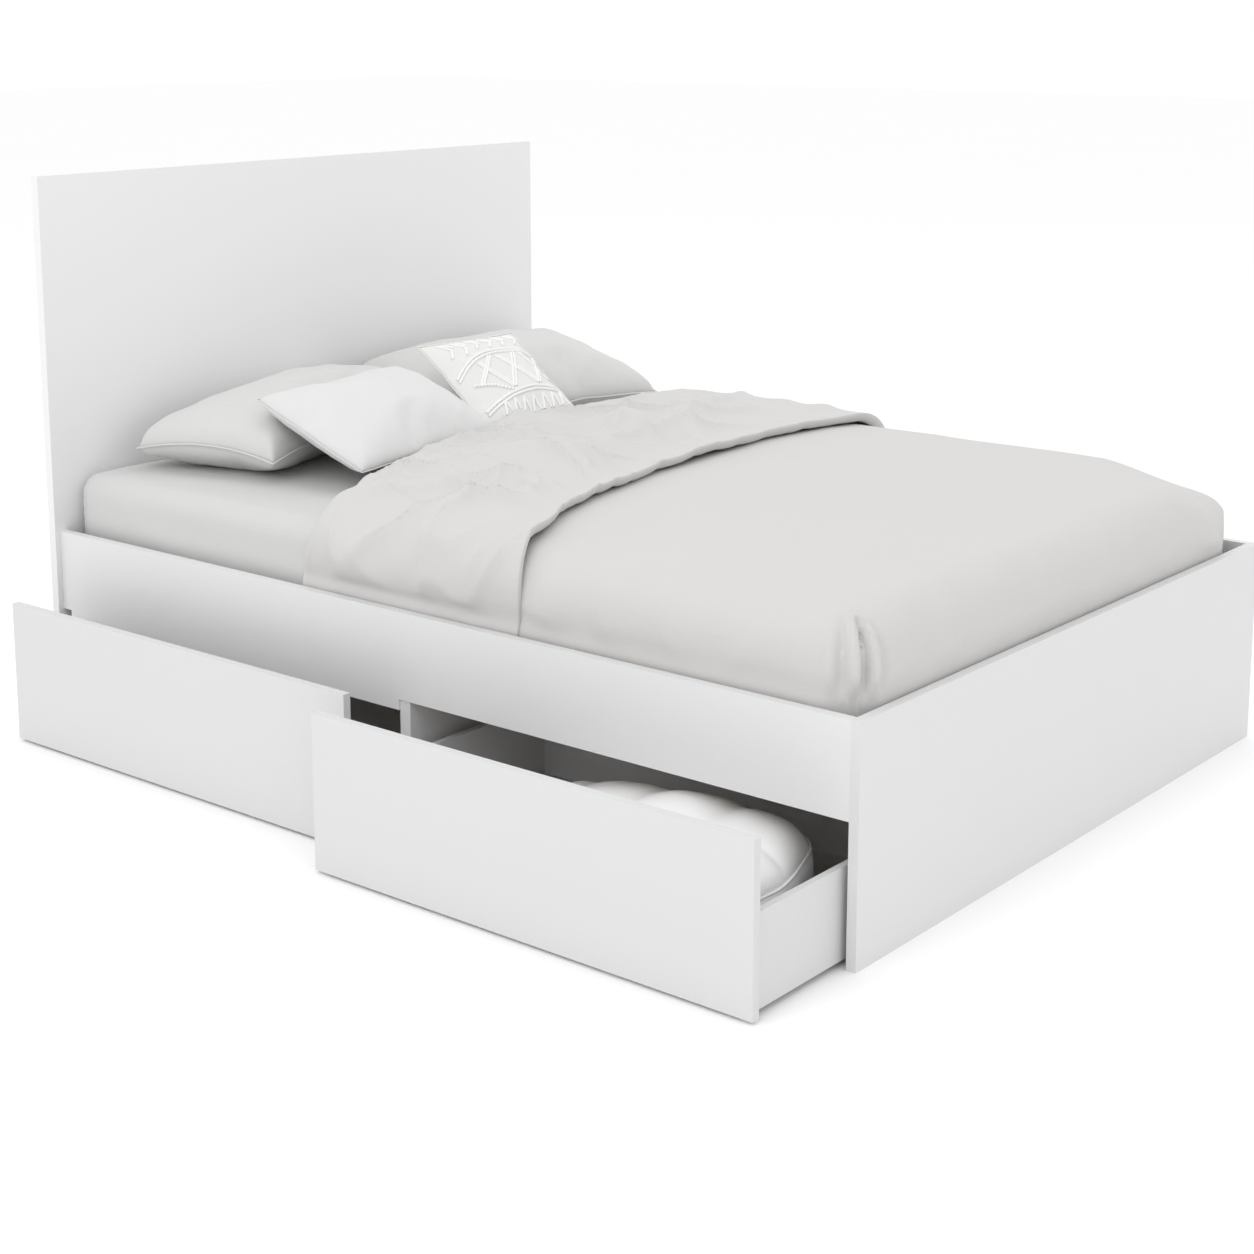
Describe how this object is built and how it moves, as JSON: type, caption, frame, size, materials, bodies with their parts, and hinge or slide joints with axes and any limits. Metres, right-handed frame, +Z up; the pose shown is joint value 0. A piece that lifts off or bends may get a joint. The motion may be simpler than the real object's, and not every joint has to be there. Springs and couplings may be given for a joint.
{
  "type": "platform bed with storage drawers",
  "caption": "Low platform bed with a tall plain panel headboard, made-up bedding and wide rolling storage drawers under one side.",
  "frame": {"origin": "on the floor under the bay divider, midway across the bed and midway between the footboard's outer face and the headboard's front face", "axes": "+Z up, +Y towards the headboard, +X across the bed away from the drawers"},
  "size_m": [1.708, 1.97, 1.13],
  "materials": {
    "laminate_side": "matte white laminate",
    "laminate_drawer": "matte white laminate",
    "laminate_end": "matte white laminate",
    "timber": "unfinished softwood",
    "zinc_steel": "zinc plated",
    "screw_steel": "zinc plated",
    "glide_plastic": "moulded plastic",
    "wheel_plastic": "moulded nylon",
    "mattress_ticking": "woven ticking",
    "sheet_cotton": "smooth cotton",
    "duvet_cotton": "soft washed cotton",
    "pillow_grey": "soft cotton",
    "pillow_white": "soft cotton",
    "tufted_cotton": "cotton with raised cord",
    "quilt_cotton": "quilted cotton"
  },
  "bodies": {
    "bed": {"side_rail_left": "laminate_side", "side_panel_right": "laminate_side", "bay_divider": "laminate_side", "headboard": "laminate_end", "footboard": "laminate_end", "mid_beam": "timber", "ledger_left": "timber", "ledger_right": "timber", "slats": "timber", "beam_hangers": "zinc_steel", "corner_brackets": "zinc_steel", "centre_leg_foot": "zinc_steel", "centre_leg_head": "zinc_steel", "bracket_screws": "screw_steel", "leg_glides": "glide_plastic", "mattress": "mattress_ticking", "fitted_sheet": "sheet_cotton", "duvet": "duvet_cotton", "duvet_fold": "duvet_cotton", "pillow_back_left": "pillow_grey", "pillow_back_right": "pillow_grey", "pillow_front": "pillow_white", "tufted_cushion": "tufted_cotton"},
    "drawer_1": {"drawer_1_front": "laminate_drawer", "drawer_1_side_head": "laminate_drawer", "drawer_1_side_foot": "laminate_drawer", "drawer_1_back": "laminate_drawer", "drawer_1_bottom": "laminate_drawer", "drawer_1_caster_frames": "zinc_steel", "drawer_1_axles": "zinc_steel", "drawer_1_caster_screws": "screw_steel"},
    "drawer_1_wheel_a": {"drawer_1_wheel_a": "wheel_plastic"},
    "drawer_1_wheel_b": {"drawer_1_wheel_b": "wheel_plastic"},
    "drawer_1_wheel_c": {"drawer_1_wheel_c": "wheel_plastic"},
    "drawer_1_wheel_d": {"drawer_1_wheel_d": "wheel_plastic"},
    "drawer_2": {"drawer_2_front": "laminate_drawer", "drawer_2_side_head": "laminate_drawer", "drawer_2_side_foot": "laminate_drawer", "drawer_2_back": "laminate_drawer", "drawer_2_bottom": "laminate_drawer", "drawer_2_caster_frames": "zinc_steel", "drawer_2_axles": "zinc_steel", "drawer_2_caster_screws": "screw_steel", "stored_quilt": "quilt_cotton"},
    "drawer_2_wheel_a": {"drawer_2_wheel_a": "wheel_plastic"},
    "drawer_2_wheel_b": {"drawer_2_wheel_b": "wheel_plastic"},
    "drawer_2_wheel_c": {"drawer_2_wheel_c": "wheel_plastic"},
    "drawer_2_wheel_d": {"drawer_2_wheel_d": "wheel_plastic"}
  },
  "joints": [
    {"name": "drawer_1_slide", "type": "slide", "parent": "bed", "child": "drawer_1", "axis": [-1, 0, 0], "range_m": [-0.127, 0.32]},
    {"name": "drawer_1_wheel_a_spin", "type": "hinge", "parent": "drawer_1", "child": "drawer_1_wheel_a", "pos_m": [-0.793, 0.084, 0.011], "axis": [0, -1, 0], "continuous": true},
    {"name": "drawer_1_wheel_b_spin", "type": "hinge", "parent": "drawer_1", "child": "drawer_1_wheel_b", "pos_m": [-0.793, 0.861, 0.011], "axis": [0, -1, 0], "continuous": true},
    {"name": "drawer_1_wheel_c_spin", "type": "hinge", "parent": "drawer_1", "child": "drawer_1_wheel_c", "pos_m": [-0.353, 0.084, 0.011], "axis": [0, -1, 0], "continuous": true},
    {"name": "drawer_1_wheel_d_spin", "type": "hinge", "parent": "drawer_1", "child": "drawer_1_wheel_d", "pos_m": [-0.353, 0.861, 0.011], "axis": [0, -1, 0], "continuous": true},
    {"name": "drawer_2_slide", "type": "slide", "parent": "bed", "child": "drawer_2", "axis": [-1, 0, 0], "range_m": [-0.229, 0.22]},
    {"name": "drawer_2_wheel_a_spin", "type": "hinge", "parent": "drawer_2", "child": "drawer_2_wheel_a", "pos_m": [-0.895, -0.876, 0.011], "axis": [0, -1, 0], "continuous": true},
    {"name": "drawer_2_wheel_b_spin", "type": "hinge", "parent": "drawer_2", "child": "drawer_2_wheel_b", "pos_m": [-0.895, -0.12, 0.011], "axis": [0, -1, 0], "continuous": true},
    {"name": "drawer_2_wheel_c_spin", "type": "hinge", "parent": "drawer_2", "child": "drawer_2_wheel_c", "pos_m": [-0.455, -0.876, 0.011], "axis": [0, -1, 0], "continuous": true},
    {"name": "drawer_2_wheel_d_spin", "type": "hinge", "parent": "drawer_2", "child": "drawer_2_wheel_d", "pos_m": [-0.455, -0.12, 0.011], "axis": [0, -1, 0], "continuous": true}
  ],
  "couplings": [
    {"joint": "drawer_1_wheel_a_spin", "follows": "drawer_1_slide", "rad_per_m": 90.909},
    {"joint": "drawer_1_wheel_b_spin", "follows": "drawer_1_slide", "rad_per_m": 90.909},
    {"joint": "drawer_1_wheel_c_spin", "follows": "drawer_1_slide", "rad_per_m": 90.909},
    {"joint": "drawer_1_wheel_d_spin", "follows": "drawer_1_slide", "rad_per_m": 90.909},
    {"joint": "drawer_2_wheel_a_spin", "follows": "drawer_2_slide", "rad_per_m": 90.909},
    {"joint": "drawer_2_wheel_b_spin", "follows": "drawer_2_slide", "rad_per_m": 90.909},
    {"joint": "drawer_2_wheel_c_spin", "follows": "drawer_2_slide", "rad_per_m": 90.909},
    {"joint": "drawer_2_wheel_d_spin", "follows": "drawer_2_slide", "rad_per_m": 90.909}
  ]
}
